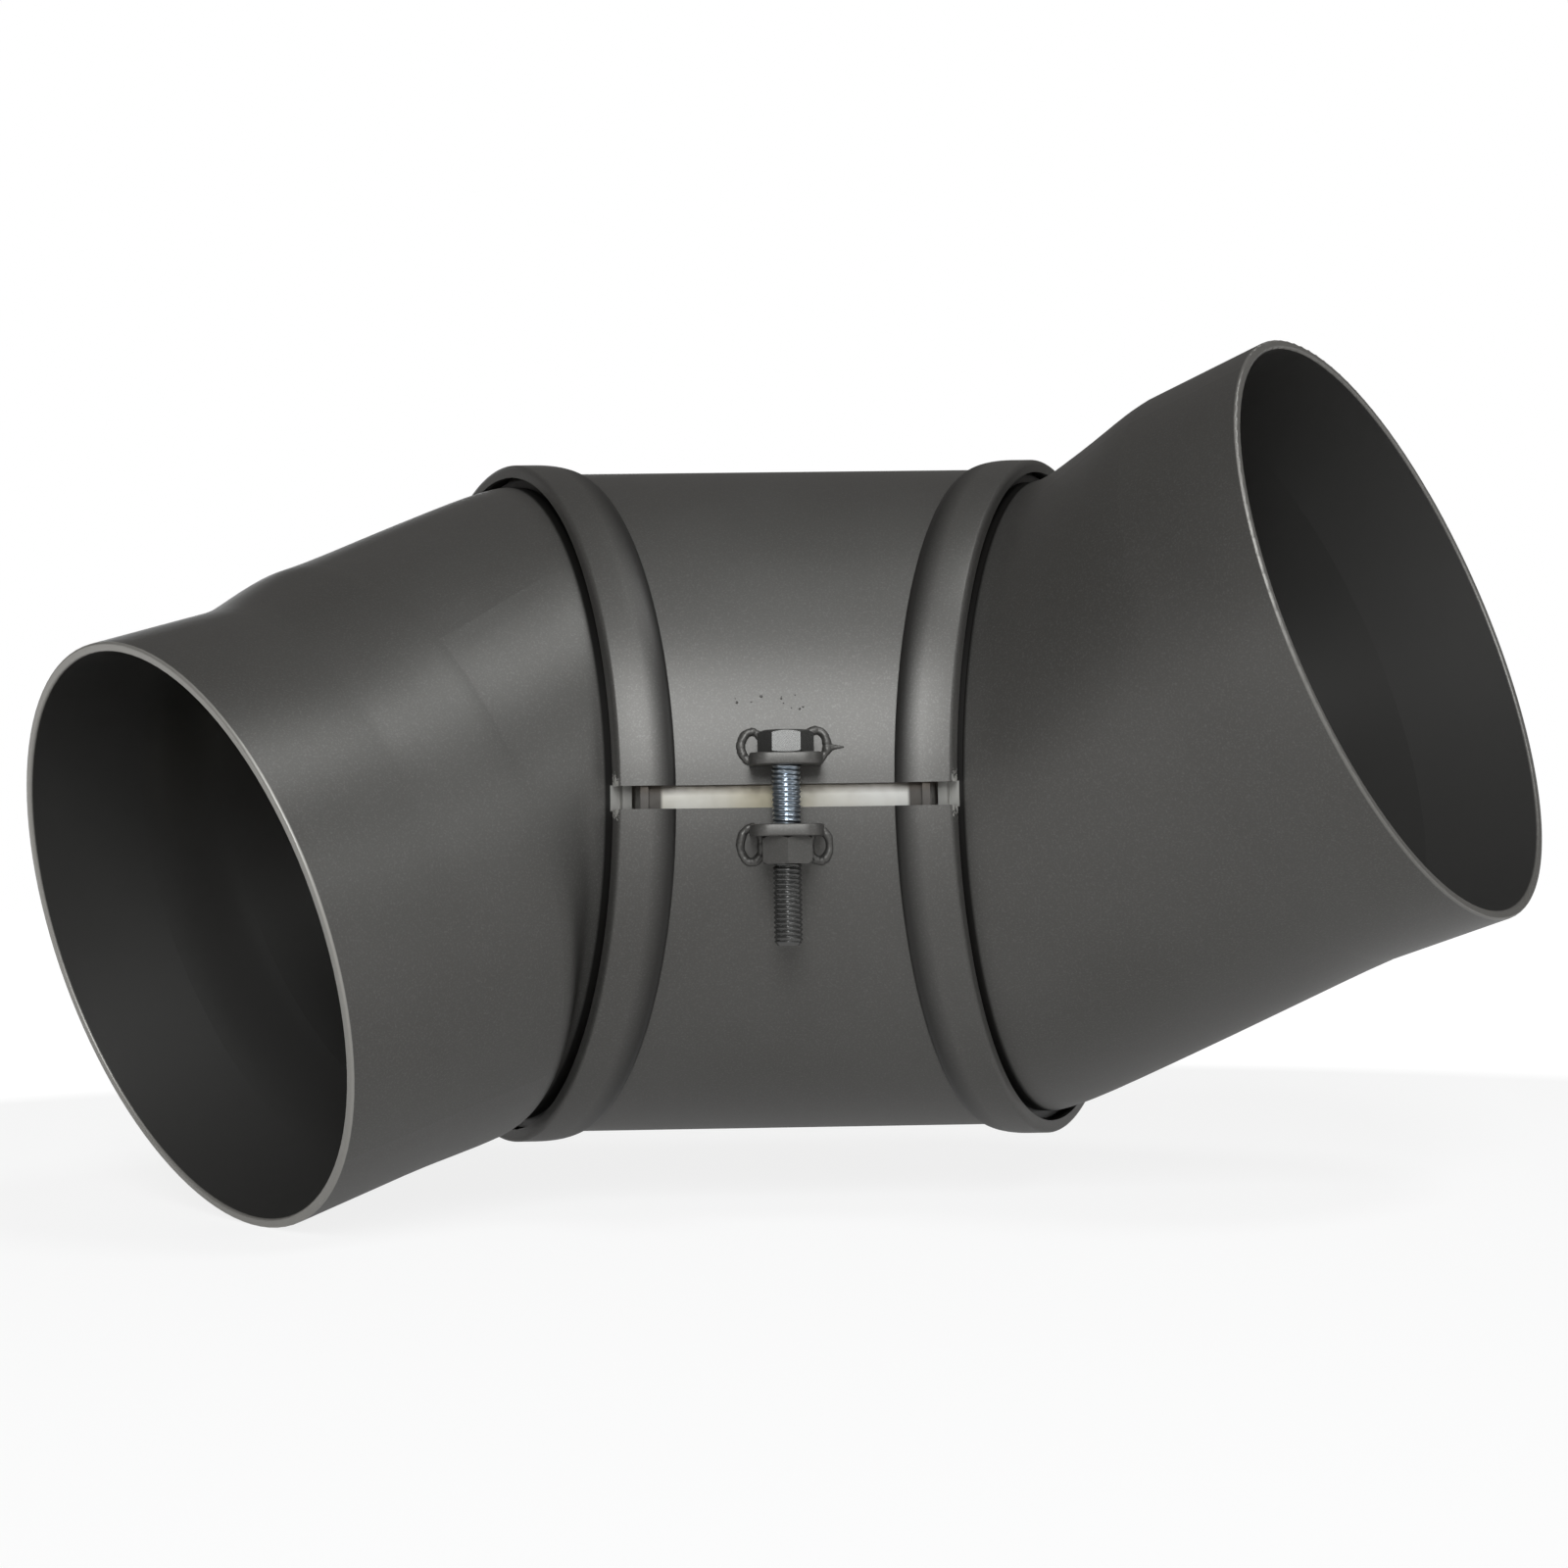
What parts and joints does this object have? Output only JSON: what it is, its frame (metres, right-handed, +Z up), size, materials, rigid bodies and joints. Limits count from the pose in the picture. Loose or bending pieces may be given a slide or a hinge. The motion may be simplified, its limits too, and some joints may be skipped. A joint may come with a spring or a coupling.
{
  "type": "adjustable stove pipe elbow",
  "caption": "Mitred sheet-steel flue elbow whose spigot and socket ends swivel in a central split clamp band drawn tight by a hexagon screw across welded lugs.",
  "frame": {"origin": "middle of the socket's mouth, on its axis", "axes": "+Z up and +X to the right as the elbow is seen from its clamp side, +Y away from that side"},
  "size_m": [0.3453, 0.1806, 0.1889],
  "materials": {
    "painted_steel": "matte heat-resistant paint",
    "bare_steel": "bare sheet",
    "screw_steel": "zinc, painted over where exposed"
  },
  "bodies": {
    "socket_end": {"socket_segment": "painted_steel"},
    "clamp": {"clamp_band": "painted_steel", "inner_liner": "bare_steel", "upper_lug": "painted_steel", "lower_lug": "painted_steel"},
    "spigot_end": {"spigot_segment": "painted_steel"},
    "screw": {"clamp_screw": "screw_steel"},
    "nut": {"clamp_nut": "screw_steel"}
  },
  "joints": [
    {"name": "socket_swivel", "type": "hinge", "parent": "socket_end", "child": "clamp", "pos_m": [-0.0683, 0.05243, -0.03434], "axis": [0.9239, -0.3827, 0], "continuous": true},
    {"name": "spigot_swivel", "type": "hinge", "parent": "clamp", "child": "spigot_end", "pos_m": [-0.1973, 0.05243, -0.03434], "axis": [-0.9239, -0.3827, 0], "continuous": true},
    {"name": "screw_turn", "type": "hinge", "parent": "clamp", "child": "screw", "pos_m": [-0.1328, -0.02539, -0.03554], "axis": [0, 0, 1], "range_deg": [0, 5760]},
    {"name": "nut_travel", "type": "slide", "parent": "clamp", "child": "nut", "axis": [0, 0, -1], "range_m": [0, 0.016]}
  ],
  "couplings": [
    {"joint": "screw_turn", "follows": "nut_travel", "rad_per_m": 6283.2}
  ]
}
